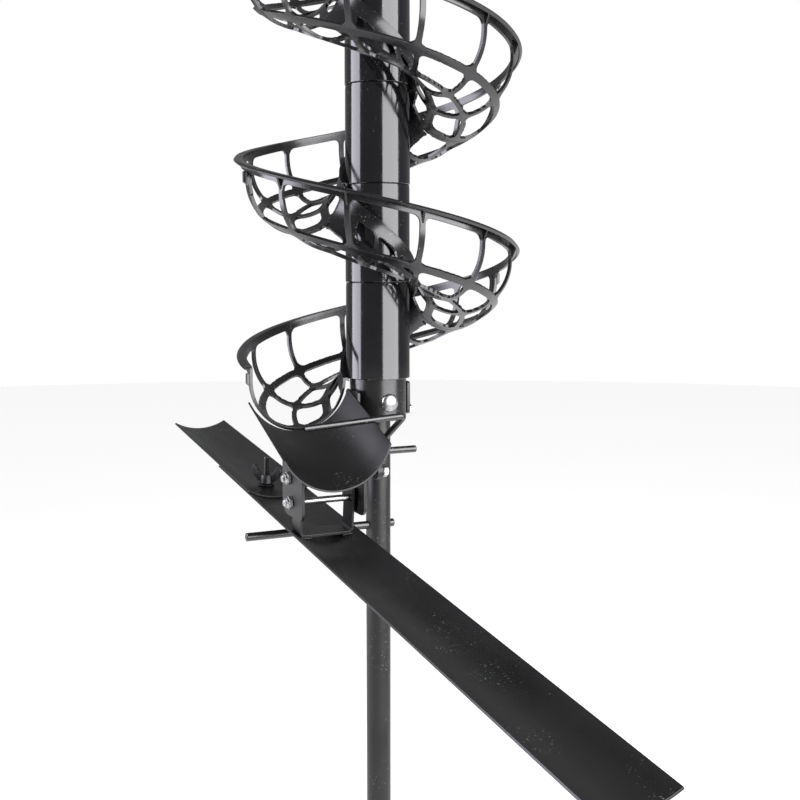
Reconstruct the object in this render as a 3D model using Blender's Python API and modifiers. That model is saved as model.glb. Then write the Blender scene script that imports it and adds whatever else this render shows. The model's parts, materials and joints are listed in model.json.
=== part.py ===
"""Gravity-fed baseball pitching machine: a spiral ball rack on a mast, a see-saw drop rail and a tripod.

Metres, +Z up. The mast stands on the Z axis and the rail runs downhill towards -Y.
"""
import math

import bmesh
import bpy
from mathutils import Matrix, Vector

# ---- overall layout -------------------------------------------------------------------------
CLEAR = 0.0003            # gap between neighbouring pieces
RACK_BASE_Z = 1.360       # lower rim of the lowest track module
MODULE_COUNT = 6
MODULE_H = 0.08535        # one module drops the balls by this much over half a turn
RAIL_X = -0.0720          # centre plane of the rail
RAIL_SLOPE = math.radians(6.0)

# ---- mast -----------------------------------------------------------------------------------
POLE_R = 0.0112
POLE_WALL = 0.002
POLE_FOOT_Z = 0.450
SUPPORT_R = 0.0254
SUPPORT_WALL = 0.002
SUPPORT_DROP = 0.037      # steel tube showing below the lowest module
PLUG_RISE = 0.030

# ---- track modules --------------------------------------------------------------------------
MODULE_TUBE_WALL = 0.0029
TRACK_R = 0.0755          # radius of the ball path about the mast
CUP_R = 0.0430            # outside radius of the U section
TRACK_WALL = 0.0026
RIM_RISE = 0.0130         # rim height over the module's lower edge, at the low end
RIM_FLANGE = 0.0066
RIM_BAND = 0.0085
POST_PITCH = 30.0         # degrees between posts
POST_W = 0.0046
RAIL_ANGLE = 42.0         # degrees below the cup's centre where the side rail runs
RIB_W = 0.0048

# ---- trough ---------------------------------------------------------------------------------
TROUGH_X = -0.0775
TROUGH_R = 0.0495
TROUGH_WALL = 0.0016
TROUGH_BACK_Y = -0.0020
TROUGH_LEN_Y = 0.0920
TROUGH_AXIS_RISE = 0.0052  # axis height over the rack base at the back edge
TROUGH_SLOPE = math.radians(22.0)
TROUGH_LEFT_CUT = math.radians(26.0)
TROUGH_RIGHT_CUT = math.radians(16.0)

# ---- pivots ---------------------------------------------------------------------------------
PIVOT_Y = -0.049
PIVOT_DROP = 0.0967       # below the rack base
GATE_Y = -0.045
GATE_DROP = 0.0767
BOLT_R = 0.0029
NUT_AF = 0.010
NUT_H = 0.0050
EAR_T = 0.0026
WASHER_T = 0.0010

# ---- rail -----------------------------------------------------------------------------------
RAIL_CHORD = 0.057
RAIL_SAG = 0.008
RAIL_T = 0.0020
RAIL_FAR = 0.216          # from the pivot to the rail's upper end
RAIL_NEAR = 0.442         # from the pivot to the rail's lower end
RAIL_DEPTH = 0.0332       # from the pivot to the floor of the rail
CLEVIS_W = 0.0486
EAR_GAP = CLEVIS_W + 2 * WASHER_T + 0.0014   # between the ears' inner faces
CLEVIS_T = 0.0024
CLEVIS_LEN = 0.020
CLEVIS_TOP = 0.0100
COUNTER_NEAR = 0.116      # from the pivot to the lower end of the counter trough
COUNTER_LEN = 0.280
STUD_AT = 0.152
STUD_R = 0.0030
SLOT_TRAVEL = 0.030

# ---- stop rod and gate ----------------------------------------------------------------------
STOP_R = 0.0037
STOP_END_X = -0.1255
STOP_DROP = 0.1346
GATE_R = 0.0028
GATE_RISE = 0.0437        # cross bar's free tip over the gate bolt
GATE_TIP_X = -0.0950
GATE_ARM_X = -0.0040
GATE_ARM_RISE = 0.0061    # the bar climbs by this much towards its bend
GATE_REACH = -0.0210      # cross bar in front of the gate bolt
STUB_R = 0.0031
STUB_END_X = 0.0160

# ---- stand ----------------------------------------------------------------------------------
LOWER_R = 0.0160
LOWER_TOP_Z = 0.750
HUB_R = 0.042
HUB_Z = (0.118, 0.190)
LEG_R = 0.0110
LEG_WALL = 0.0020
LEG_ANGLES = (-90.0, 30.0, 150.0)
LEG_TOP = (0.026, 0.158)   # radius and height where a leg enters the hub
LEG_FOOT = (0.480, 0.0240)  # radius and height of the leg's lower end
FOOT_R = 0.0160
CLAMP_R = 0.0240
CLAMP_H = 0.045
KNOB_R = 0.0180

PIVOT = Vector((RAIL_X, PIVOT_Y, RACK_BASE_Z - PIVOT_DROP))
GATE_AXIS = Vector((RAIL_X, GATE_Y, RACK_BASE_Z - GATE_DROP))


# ---- helpers --------------------------------------------------------------------------------
def clear_scene():
    for old in list(bpy.data.objects):
        bpy.data.objects.remove(old, do_unlink=True)


def new_collection(name, hidden=False):
    made = bpy.data.collections.new(name)
    made.hide_render = hidden
    bpy.context.scene.collection.children.link(made)
    return made


clear_scene()
MACHINE = new_collection("pitching_machine")
CUTTERS = new_collection("cutters", hidden=True)
MATERIALS = {}


def material(name, colour, metallic, roughness):
    if name not in MATERIALS:
        made = bpy.data.materials.new(name)
        made.use_nodes = True
        shader = made.node_tree.nodes["Principled BSDF"]
        shader.inputs["Base Color"].default_value = (*colour, 1.0)
        shader.inputs["Metallic"].default_value = metallic
        shader.inputs["Roughness"].default_value = roughness
        made.diffuse_color = (*colour, 1.0)
        MATERIALS[name] = made
    return MATERIALS[name]


def black_paint():
    return material("satin_black_paint", (0.012, 0.012, 0.014), 0.0, 0.38)


def gloss_plastic():
    return material("gloss_black_plastic", (0.008, 0.008, 0.009), 0.0, 0.18)


def zinc():
    return material("bright_zinc", (0.62, 0.64, 0.66), 1.0, 0.28)


def rubber():
    return material("black_rubber", (0.02, 0.02, 0.02), 0.0, 0.8)


def nylon():
    return material("black_nylon", (0.02, 0.02, 0.02), 0.0, 0.45)


def cast():
    return material("black_casting", (0.02, 0.02, 0.021), 0.0, 0.55)


def finish(name, mesh_source, look):
    """Turns a bmesh into a named object with normals out."""
    bmesh.ops.remove_doubles(mesh_source, verts=mesh_source.verts, dist=1e-6)
    bmesh.ops.recalc_face_normals(mesh_source, faces=mesh_source.faces)
    mesh = bpy.data.meshes.new(name)
    mesh_source.to_mesh(mesh)
    mesh_source.free()
    made = bpy.data.objects.new(name, mesh)
    MACHINE.objects.link(made)
    if look is not None:
        mesh.materials.append(look)
    return made


def move_to_cutters(obj):
    MACHINE.objects.unlink(obj)
    CUTTERS.objects.link(obj)
    obj.display_type = "WIRE"
    obj.hide_render = True


def aim(direction):
    """Rotation that takes +Z to the direction."""
    return Vector(direction).to_track_quat("Z", "Y").to_matrix().to_4x4()


def turned(name, profile, look, start=(0, 0, 0), direction=(0, 0, 1), steps=24):
    """A closed (radius, height) outline turned about an axis."""
    work = bmesh.new()
    points = [work.verts.new((radius, 0.0, height)) for radius, height in profile]
    edges = [work.edges.new((points[i], points[(i + 1) % len(points)])) for i in range(len(points))]
    bmesh.ops.spin(
        work, geom=points + edges, cent=(0, 0, 0), axis=(0, 0, 1),
        angle=2 * math.pi, steps=steps, use_merge=True,
    )
    bmesh.ops.remove_doubles(work, verts=work.verts, dist=1e-6)
    collapsed = [f for f in work.faces if f.calc_area() < 1e-12]
    bmesh.ops.delete(work, geom=collapsed, context="FACES")
    work.transform(Matrix.Translation(start) @ aim(direction))
    return finish(name, work, look)


def pipe(name, start, end, outer, inner, look, steps=24):
    start, end = Vector(start), Vector(end)
    length = (end - start).length
    profile = [(outer, length), (outer, 0.0), (inner, 0.0), (inner, length)]
    return turned(name, profile, look, start, end - start, steps)


def cylinder(name, start, end, radius, look, steps=24):
    start, end = Vector(start), Vector(end)
    work = bmesh.new()
    bmesh.ops.create_cone(
        work, cap_ends=True, segments=steps, radius1=radius, radius2=radius, depth=(end - start).length,
    )
    work.transform(Matrix.Translation((start + end) / 2) @ aim(end - start))
    return finish(name, work, look)


def cut(body, cutter):
    """Takes the cutter out of the body and applies it."""
    move_to_cutters(cutter)
    boolean = body.modifiers.new("cut", "BOOLEAN")
    boolean.operation = "DIFFERENCE"
    boolean.solver = "EXACT"
    boolean.object = cutter
    apply_modifiers(body)


def join(body, other):
    """Adds another closed solid to the body."""
    move_to_cutters(other)
    boolean = body.modifiers.new("join", "BOOLEAN")
    boolean.operation = "UNION"
    boolean.solver = "EXACT"
    boolean.object = other
    apply_modifiers(body)


def apply_modifiers(obj):
    bpy.context.view_layer.update()
    graph = bpy.context.evaluated_depsgraph_get()
    mesh = bpy.data.meshes.new_from_object(obj.evaluated_get(graph))
    obj.modifiers.clear()
    old = obj.data
    obj.data = mesh
    mesh.name = obj.name
    bpy.data.meshes.remove(old)


def bore(body, start, end, radius, steps=16):
    cut(body, cylinder(body.name + "_bore", start, end, radius, None, steps))


def slab(name, low, high, look):
    low, high = Vector(low), Vector(high)
    work = bmesh.new()
    bmesh.ops.create_cube(work, size=1.0)
    work.transform(Matrix.Translation((low + high) / 2) @ Matrix.Diagonal((*(high - low), 1.0)))
    return finish(name, work, look)


def plate(name, outline, x_low, x_high, look):
    """A flat plate with its outline in the YZ plane."""
    work = bmesh.new()
    ring = [work.verts.new((x_low, y, z)) for y, z in outline]
    face = work.faces.new(ring)
    grown = bmesh.ops.extrude_face_region(work, geom=[face])
    moved = [item for item in grown["geom"] if isinstance(item, bmesh.types.BMVert)]
    bmesh.ops.translate(work, verts=moved, vec=(x_high - x_low, 0, 0))
    return finish(name, work, look)


def arc(centre, radius, first, last, steps):
    """Points of an arc, with angles in degrees."""
    made = []
    for step in range(steps + 1):
        angle = math.radians(first + (last - first) * step / steps)
        made.append((centre[0] + radius * math.cos(angle), centre[1] + radius * math.sin(angle)))
    return made


def channel(name, section, path, look):
    """A closed (x, z) section carried along a straight path given by its two ends."""
    work = bmesh.new()
    rings = []
    for y, lift in path:
        rings.append([work.verts.new((x, y, z + lift)) for x, z in section])
    count = len(section)
    for i in range(count):
        j = (i + 1) % count
        work.faces.new((rings[0][i], rings[0][j], rings[1][j], rings[1][i]))
    half = count // 2
    for ring in rings:
        for i in range(half - 1):
            work.faces.new((ring[i], ring[i + 1], ring[count - 2 - i], ring[count - 1 - i]))
    return finish(name, work, look)


def hex_nut(name, centre, direction, look, across=NUT_AF, height=NUT_H, hole=BOLT_R + CLEAR):
    """A hexagon nut whose middle is at the centre."""
    direction = Vector(direction).normalized()
    centre = Vector(centre)
    half = direction * height / 2
    body = cylinder(name, centre - half, centre + half, across / math.sqrt(3), look, 6)
    if hole:
        bore(body, centre - half * 3, centre + half * 3, hole, 16)
    return body


def bolt(name, head, tip, radius, look, across, head_h, domed=False):
    """A bolt with its head outside the first point and its shank running to the second."""
    head, tip = Vector(head), Vector(tip)
    axis = tip - head
    length = axis.length
    if domed:
        profile = [(0.0, length), (radius, length), (radius, 0.0), (across / 2, 0.0)]
        profile += [(across / 2 * math.cos(a), -head_h * math.sin(a)) for a in (0.3, 0.65, 1.0, 1.3)]
        profile += [(0.0, -head_h)]
        return turned(name, profile, look, head, axis, 24)
    body = cylinder(name, head - axis.normalized() * head_h, head, across / math.sqrt(3), look, 6)
    join(body, cylinder(name + "_shank", head - axis.normalized() * head_h / 2, tip, radius, None, 16))
    return body


# ---- track modules --------------------------------------------------------------------------
def cup_section():
    """(radius, height, kept) stations down the outside wall, round the cup and up the inside."""
    outer = TRACK_R + CUP_R
    inner = TRACK_R - CUP_R
    straight = RIM_RISE
    centre_z = -straight
    stations = [(outer + RIM_FLANGE, 0.0, True), (outer, 0.0, True), (outer, -RIM_BAND, False)]
    rib = math.degrees(RIB_W / CUP_R) / 2
    bands = ((12.0, False), (RAIL_ANGLE - rib, True), (RAIL_ANGLE + rib, False), (66.0, False))
    bands += ((90.0 - rib, True), (90.0 + rib, False), (114.0, False))
    bands += ((180.0 - RAIL_ANGLE - rib, True), (180.0 - RAIL_ANGLE + rib, False), (168.0, True))
    for angle, kept in bands:
        turn = math.radians(angle)
        stations.append((TRACK_R + CUP_R * math.cos(turn), centre_z - CUP_R * math.sin(turn), kept))
    stations.append((inner, -0.0005, True))
    return stations


def post_angles():
    """(angle, kept) stations along a half turn: the posts and the spans between them."""
    half = math.degrees(POST_W / (TRACK_R + CUP_R)) / 2
    gap = math.degrees(CLEAR / TRACK_R)
    stations = [(gap, True), (2 * half, False), (POST_PITCH / 2, False)]
    count = int(round(180.0 / POST_PITCH))
    for index in range(1, count):
        angle = index * POST_PITCH
        stations += [(angle - half, True), (angle + half, False), (angle + POST_PITCH / 2, False)]
    stations += [(180.0 - 2 * half, True), (180.0 - gap, False)]
    return stations


def basket():
    """The open lattice of one module, starting at azimuth 0 and dropping round to azimuth 180."""
    work = bmesh.new()
    turns = post_angles()
    section = cup_section()
    grid = []
    for angle, _ in turns:
        around = math.radians(angle)
        drop = MODULE_H * (1.0 - angle / 180.0) + RIM_RISE
        grid.append([
            work.verts.new((radius * math.cos(around), radius * math.sin(around), height + drop))
            for radius, height, _ in section
        ])
    for i in range(len(turns) - 1):
        for j in range(len(section) - 1):
            if turns[i][1] or section[j][2]:
                work.faces.new((grid[i][j], grid[i + 1][j], grid[i + 1][j + 1], grid[i][j + 1]))
    loose = [v for v in work.verts if not v.link_faces]
    bmesh.ops.delete(work, geom=loose, context="VERTS")
    bmesh.ops.recalc_face_normals(work, faces=work.faces)
    body = finish("basket", work, gloss_plastic())
    shell = body.modifiers.new("wall", "SOLIDIFY")
    shell.thickness = TRACK_WALL
    shell.offset = 0.0
    shell.use_even_offset = False
    apply_modifiers(body)
    return body


def module_web():
    """The web that ties the basket's inner wall to the module's own tube."""
    work = bmesh.new()
    tube_r = SUPPORT_R + CLEAR + MODULE_TUBE_WALL / 2
    wall_r = TRACK_R - CUP_R + 0.0002
    first, last, steps = 40.0, 176.0, 8
    rings = []
    for step in range(steps + 1):
        angle = first + (last - first) * step / steps
        around = math.radians(angle)
        top = MODULE_H * (1.0 - angle / 180.0) + RIM_RISE - 0.003
        corners = ((tube_r, top), (wall_r, top), (wall_r, top - 0.003), (tube_r, top - 0.003))
        rings.append([
            work.verts.new((r * math.cos(around), r * math.sin(around), z)) for r, z in corners
        ])
    for low, high in zip(rings, rings[1:]):
        for i in range(4):
            j = (i + 1) % 4
            work.faces.new((low[i], high[i], high[j], low[j]))
    work.faces.new(rings[0])
    work.faces.new(rings[-1])
    return finish("module_web", work, None)


def track_modules():
    """Six moulded modules, each a tube segment with half a turn of ball track."""
    tube_in = SUPPORT_R + CLEAR
    tube_out = tube_in + MODULE_TUBE_WALL
    top = MODULE_H - CLEAR
    first = turned(
        "track_module_1", [(tube_out, top), (tube_out, 0.0), (tube_in, 0.0), (tube_in, top)],
        gloss_plastic(), steps=32,
    )
    join(first, module_web())
    join(first, basket())
    for index in range(MODULE_COUNT):
        if index:
            made = bpy.data.objects.new(f"track_module_{index + 1}", first.data.copy())
            MACHINE.objects.link(made)
        else:
            made = first
        made.rotation_euler = (0, 0, math.pi * (index % 2))
        made.location = (0, 0, RACK_BASE_Z + MODULE_H * index)


# ---- mast -----------------------------------------------------------------------------------
def mast():
    rack_top = RACK_BASE_Z + MODULE_COUNT * MODULE_H
    foot = RACK_BASE_Z - SUPPORT_DROP
    support = pipe(
        "support_tube", (0, 0, foot), (0, 0, rack_top + 0.004),
        SUPPORT_R, SUPPORT_R - SUPPORT_WALL, black_paint(), 32,
    )
    pole_top = RACK_BASE_Z + PLUG_RISE
    pole = pipe(
        "pole", (0, 0, POLE_FOOT_Z), (0, 0, pole_top - 0.003), POLE_R, POLE_R - POLE_WALL, black_paint(), 24,
    )
    plug = pipe(
        "pole_plug", (0, 0, foot + 0.001), (0, 0, pole_top), SUPPORT_R - SUPPORT_WALL - CLEAR,
        POLE_R + CLEAR, cast(), 32,
    )
    bolt_z = RACK_BASE_Z - 0.0205
    side_z = RACK_BASE_Z - 0.0300
    for body in (support, pole, plug):
        bore(body, (0, -0.04, bolt_z), (0, 0.04, bolt_z), 0.0040 + CLEAR)
        bore(body, (-0.04, 0, side_z), (0.04, 0, side_z), 0.0025 + CLEAR)
    front = -SUPPORT_R - CLEAR
    bolt("collar_bolt", (0, front, bolt_z), (0, 0.0340, bolt_z), 0.0040, zinc(), 0.0160, 0.0042, True)
    hex_nut("collar_nut", (0, SUPPORT_R + 0.0040, bolt_z), (0, 1, 0), zinc(), 0.013, 0.0065, 0.0040 + CLEAR)
    pad = slab(
        "side_pad", (SUPPORT_R + CLEAR, -0.0072, RACK_BASE_Z - 0.0335),
        (SUPPORT_R + 0.0035, 0.0072, RACK_BASE_Z - 0.0042), black_paint(),
    )
    bore(pad, (0, 0, side_z), (0.06, 0, side_z), 0.0025 + CLEAR)
    turned(
        "rack_cap", [
            (0.0, 0.016), (0.020, 0.015), (0.0270, 0.011), (0.0286, 0.005), (0.0286, CLEAR),
            (SUPPORT_R + 0.0004, CLEAR), (SUPPORT_R + 0.0004, 0.005), (0.0228, 0.005),
            (0.0228, -0.020), (0.0, -0.020),
        ], gloss_plastic(), (0, 0, rack_top), steps=32,
    )
    return side_z


# ---- trough, ears and bolts -----------------------------------------------------------------
def trough_axis_z(y):
    return RACK_BASE_Z + TROUGH_AXIS_RISE + (y - TROUGH_BACK_Y) * math.tan(TROUGH_SLOPE)


def trough():
    first = 180.0 + math.degrees(TROUGH_LEFT_CUT)
    last = 360.0 - math.degrees(TROUGH_RIGHT_CUT)
    inside = arc((TROUGH_X, 0), TROUGH_R - TROUGH_WALL / 2, first, last, 18)
    outside = arc((TROUGH_X, 0), TROUGH_R + TROUGH_WALL / 2, last, first, 18)
    ends = [(y, trough_axis_z(y)) for y in (TROUGH_BACK_Y, TROUGH_BACK_Y - TROUGH_LEN_Y)]
    channel("drop_trough", inside + outside, ends, black_paint())


def trough_under(x, y):
    """Height of the trough's underside at a place."""
    outer = TROUGH_R + TROUGH_WALL / 2
    return trough_axis_z(y) - math.sqrt(outer * outer - (x - TROUGH_X) ** 2)


def ears(side_z):
    left_in = RAIL_X - EAR_GAP / 2
    right_in = RAIL_X + EAR_GAP / 2
    pivot = (PIVOT.y, PIVOT.z)
    for name, low, high in (
        ("ear_left", left_in - EAR_T, left_in), ("ear_right", right_in, right_in + EAR_T),
    ):
        inner = max(low, high, key=lambda x: abs(x - TROUGH_X) * -1)
        top = [(y, trough_under(inner, y) - CLEAR) for y in (-0.026, -0.074)]
        lower = arc(pivot, 0.0125, -35.0, -155.0, 8)
        outline = [(-0.026, top[0][1]), *[(y, z) for y, z in lower], (-0.0665, pivot[1] + 0.008), top[1]]
        body = plate(name, outline, low, high, black_paint())
        for axis in (PIVOT, GATE_AXIS):
            bore(body, (low - 0.01, axis.y, axis.z), (high + 0.01, axis.y, axis.z), BOLT_R + CLEAR)
    left_face = left_in - EAR_T
    right_face = right_in + EAR_T
    for name, axis, head_x in (("pivot_bolt", PIVOT, right_face + CLEAR), ("gate_bolt", GATE_AXIS, -0.0160)):
        nut_x = left_face - CLEAR - NUT_H / 2
        bolt(name, (head_x, axis.y, axis.z), (nut_x - 0.0045, axis.y, axis.z), BOLT_R, zinc(), NUT_AF, 0.0042)
        hex_nut(name.replace("bolt", "nut"), (nut_x, axis.y, axis.z), (1, 0, 0), zinc())
    bracket = slab(
        "trough_bracket", (-0.0286, -0.0200, side_z - 0.0060), (-SUPPORT_R - CLEAR, 0.0070, side_z + 0.0200),
        black_paint(),
    )
    bore(bracket, (-0.06, 0, side_z), (0, 0, side_z), 0.0025 + CLEAR)
    bolt(
        "side_bolt", (SUPPORT_R + 0.0035 + CLEAR, 0, side_z), (-0.0346, 0, side_z),
        0.0025, zinc(), 0.008, 0.0032,
    )
    hex_nut("side_nut", (-0.0310, 0, side_z), (1, 0, 0), zinc(), 0.008, 0.0040, 0.0025 + CLEAR)


def stop_rod():
    z = RACK_BASE_Z - STOP_DROP
    rod = cylinder("stop_rod", (STOP_END_X, 0, z), (POLE_R + 0.004, 0, z), STOP_R, black_paint(), 20)
    bore(bpy.data.objects["pole"], (-0.04, 0, z), (0.04, 0, z), STOP_R + CLEAR)
    return rod


# ---- gate -----------------------------------------------------------------------------------
def bent_rod(name, points, radius, look):
    """A round rod along straight runs with rounded corners."""
    path = bpy.data.curves.new(name, "CURVE")
    path.dimensions = "3D"
    path.bevel_depth = radius
    path.bevel_resolution = 2
    path.use_fill_caps = True
    line = path.splines.new("POLY")
    line.points.add(len(points) - 1)
    for place, point in zip(line.points, points):
        place.co = (*point, 1.0)
    holder = bpy.data.objects.new(name, path)
    MACHINE.objects.link(holder)
    bpy.context.view_layer.update()
    graph = bpy.context.evaluated_depsgraph_get()
    mesh = bpy.data.meshes.new_from_object(holder.evaluated_get(graph))
    bpy.data.objects.remove(holder, do_unlink=True)
    work = bmesh.new()
    work.from_mesh(mesh)
    return finish(name, work, look)


def rounded(points, radius, steps=4):
    """Replaces each inner corner of a path with an arc."""
    made = [Vector(points[0])]
    for before, corner, after in zip(points, points[1:], points[2:]):
        before, corner, after = Vector(before), Vector(corner), Vector(after)
        into = (corner - before).normalized()
        out = (after - corner).normalized()
        for step in range(steps + 1):
            t = step / steps
            start = corner - into * radius
            end = corner + out * radius
            made.append((1 - t) ** 2 * start + 2 * t * (1 - t) * corner + t * t * end)
    made.append(Vector(points[-1]))
    return made


def gate():
    axis = GATE_AXIS
    bar_y = axis.y + GATE_REACH
    bar_z = axis.z + GATE_RISE
    low = -0.0235
    high = low + 0.0060
    body = turned(
        "gate_lever", [(0.0075, 0.006), (0.0075, 0.0), (BOLT_R + CLEAR, 0.0), (BOLT_R + CLEAR, 0.006)],
        black_paint(), (low, axis.y, axis.z), (1, 0, 0), 20,
    )
    arm = slab(
        "gate_arm", (low + 0.001, axis.y - 0.0060, axis.z + 0.0050),
        (high - 0.001, axis.y + 0.0060, axis.z + 0.0240), None,
    )
    join(body, arm)
    stub_z = axis.z + 0.0170
    rod_x = high - 0.001 + CLEAR + GATE_R
    corners = [
        (GATE_TIP_X, bar_y, bar_z), (GATE_ARM_X, bar_y, bar_z + GATE_ARM_RISE),
        (rod_x, axis.y, stub_z + 0.0035 + STUB_R + GATE_R),
    ]
    bent_rod("gate_rod", rounded(corners, 0.006), GATE_R, black_paint())
    cylinder(
        "gate_stub", (high - 0.001 + CLEAR, axis.y, stub_z), (STUB_END_X, axis.y, stub_z), STUB_R, black_paint(), 16,
    )


# ---- rail -----------------------------------------------------------------------------------
RAIL_FRAME = Matrix.Translation(PIVOT) @ Matrix.Rotation(RAIL_SLOPE, 4, "X")


def rail_section(lift, sag_steps=10):
    """Closed shallow arc, with its floor at the given height."""
    radius = ((RAIL_CHORD / 2) ** 2 + RAIL_SAG ** 2) / (2 * RAIL_SAG)
    half = math.degrees(math.asin(RAIL_CHORD / 2 / radius))
    centre = (0.0, lift + radius)
    inside = arc(centre, radius, 270 - half, 270 + half, sag_steps)
    outside = arc(centre, radius + RAIL_T, 270 + half, 270 - half, sag_steps)
    return inside + outside


def in_rail_frame(obj):
    obj.data.transform(RAIL_FRAME)
    return obj


def rail():
    body = channel("drop_rail", rail_section(-RAIL_DEPTH), [(-RAIL_NEAR, 0), (RAIL_FAR, 0)], black_paint())
    slot_r = STUD_R + 0.0006
    start, end = STUD_AT - SLOT_TRAVEL, STUD_AT + SLOT_TRAVEL
    outline = arc((0, start), slot_r, 180, 360, 8) + arc((0, end), slot_r, 0, 180, 8)
    work = bmesh.new()
    face = work.faces.new([work.verts.new((x, y, -RAIL_DEPTH - 0.01)) for x, y in outline])
    grown = bmesh.ops.extrude_face_region(work, geom=[face])
    moved = [item for item in grown["geom"] if isinstance(item, bmesh.types.BMVert)]
    bmesh.ops.translate(work, verts=moved, vec=(0, 0, 0.02))
    cut(body, finish("slot", work, None))
    in_rail_frame(body)


def clevis():
    half = CLEVIS_W / 2
    bend = 0.0050
    radius = ((RAIL_CHORD / 2) ** 2 + RAIL_SAG ** 2) / (2 * RAIL_SAG)
    rest = radius - math.sqrt(radius ** 2 - (half - bend) ** 2) + 0.0006
    floor = -RAIL_DEPTH + rest
    top = CLEVIS_TOP

    def u_line(inset):
        r = bend - inset
        left = arc((-half + bend, floor + bend), r, 180, 270, 4)
        right = arc((half - bend, floor + bend), r, 270, 360, 4)
        return [(-half + inset, top), *left, *right, (half - inset, top)]

    section = u_line(0.0) + list(reversed(u_line(CLEVIS_T)))
    body = channel("clevis", section, [(-CLEVIS_LEN / 2, 0), (CLEVIS_LEN / 2, 0)], black_paint())
    bore(body, (-0.05, 0, 0), (0.05, 0, 0), BOLT_R + CLEAR)
    in_rail_frame(body)
    for name, side in (("pivot_washer_left", -1), ("pivot_washer_right", 1)):
        start = side * (half + CLEAR)
        ring = pipe(
            name, (start, 0, 0), (start + side * WASHER_T, 0, 0), 0.0060, BOLT_R + CLEAR, nylon(), 20,
        )
        in_rail_frame(ring)


def counter_trough():
    lift = -RAIL_DEPTH + RAIL_T + CLEAR
    body = channel(
        "counter_trough", rail_section(lift), [(COUNTER_NEAR, 0), (COUNTER_NEAR + COUNTER_LEN, 0)], black_paint(),
    )
    bore(body, (0, STUD_AT, lift - 0.02), (0, STUD_AT, lift + 0.02), STUD_R + CLEAR)
    in_rail_frame(body)
    below = -RAIL_DEPTH - RAIL_T - CLEAR
    stud = turned(
        "counter_stud", [
            (0.0, 0.034), (STUD_R, 0.034), (STUD_R, 0.0), (0.0080, 0.0), (0.0070, -0.0024), (0.0040, -0.0034),
            (0.0, -0.0036),
        ], zinc(), (0, STUD_AT, below), steps=20,
    )
    in_rail_frame(stud)
    seat = lift + 0.0012
    washer = pipe(
        "counter_washer", (0, STUD_AT, seat), (0, STUD_AT, seat + 0.0012), 0.0075, STUD_R + CLEAR, zinc(), 20,
    )
    in_rail_frame(washer)
    wing_nut(seat + 0.0012 + CLEAR)


def wing_nut(seat):
    boss_r, boss_h = 0.0065, 0.0085
    body = turned(
        "wing_nut", [
            (0.0052, boss_h), (boss_r, 0.0), (STUD_R + CLEAR, 0.0), (STUD_R + CLEAR, boss_h),
        ], nylon(), (0, STUD_AT, seat), steps=20,
    )
    for side in (-1, 1):
        outline = [(side * 0.0045, 0.0010), (side * 0.0100, 0.0040), (side * 0.0150, 0.0120)]
        outline += [(side * 0.0140, 0.0170), (side * 0.0105, 0.0175), (side * 0.0045, 0.0078)]
        wing = plate("wing", outline if side > 0 else list(reversed(outline)), -0.0016, 0.0016, None)
        wing.data.transform(
            Matrix.Translation((0, STUD_AT, seat)) @ Matrix.Rotation(math.radians(46), 4, "Z")
        )
        join(body, wing)
    in_rail_frame(body)


# ---- stand ----------------------------------------------------------------------------------
def stand():
    hub = turned(
        "base_hub", [
            (HUB_R, HUB_Z[1] - 0.012), (HUB_R, HUB_Z[0]), (LOWER_R + CLEAR, HUB_Z[0]),
            (LOWER_R + CLEAR, HUB_Z[1]), (HUB_R - 0.012, HUB_Z[1]),
        ], cast(), steps=32,
    )
    lower = pipe(
        "lower_tube", (0, 0, HUB_Z[0] + 0.002), (0, 0, LOWER_TOP_Z), LOWER_R, POLE_R + CLEAR, black_paint(), 24,
    )
    for number, angle in enumerate(LEG_ANGLES, 1):
        out = Vector((math.cos(math.radians(angle)), math.sin(math.radians(angle)), 0))
        start = out * LEG_TOP[0] + Vector((0, 0, LEG_TOP[1]))
        end = out * LEG_FOOT[0] + Vector((0, 0, LEG_FOOT[1]))
        along = (end - start).normalized()
        bore(hub, start - along * CLEAR, end, LEG_R + CLEAR, 20)
        pipe(f"leg_{number}", start, end, LEG_R, LEG_R - LEG_WALL, black_paint(), 20)
        foot(number, end, along)
        flat = along.to_2d().length
        seat = start + along * (HUB_R - 0.008 - LEG_TOP[0]) / flat
        up = Vector((0, 0, 1))
        rise = (LEG_R - 0.0030 * along.z) / flat + CLEAR
        tip = Vector((seat.x, seat.y, seat.z + rise))
        bore(hub, tip - up * 0.004, Vector((seat.x, seat.y, HUB_Z[1] + 0.02)), 0.0030 + CLEAR)
        bolt(
            f"leg_screw_{number}", Vector((seat.x, seat.y, HUB_Z[1] + CLEAR)), tip, 0.0030, zinc(), 0.010, 0.0055,
        )
    return hub, lower


def foot(number, leg_end, along):
    """A rubber cup on the leg's end with a flat sole on the floor."""
    start = leg_end - along * 0.026
    end = leg_end + along * 0.050
    body = cylinder(f"foot_{number}", start, end, FOOT_R, rubber(), 20)
    bore(body, start - along * 0.01, leg_end + along * CLEAR, LEG_R + CLEAR, 20)
    work = bmesh.new()
    work.from_mesh(body.data)
    geometry = list(work.verts) + list(work.edges) + list(work.faces)
    sliced = bmesh.ops.bisect_plane(
        work, geom=geometry, plane_co=(0, 0, 0), plane_no=(0, 0, -1), clear_outer=True,
    )
    rim = [item for item in sliced["geom_cut"] if isinstance(item, bmesh.types.BMEdge)]
    bmesh.ops.edgenet_fill(work, edges=rim)
    bmesh.ops.recalc_face_normals(work, faces=work.faces)
    work.to_mesh(body.data)
    work.free()


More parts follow.
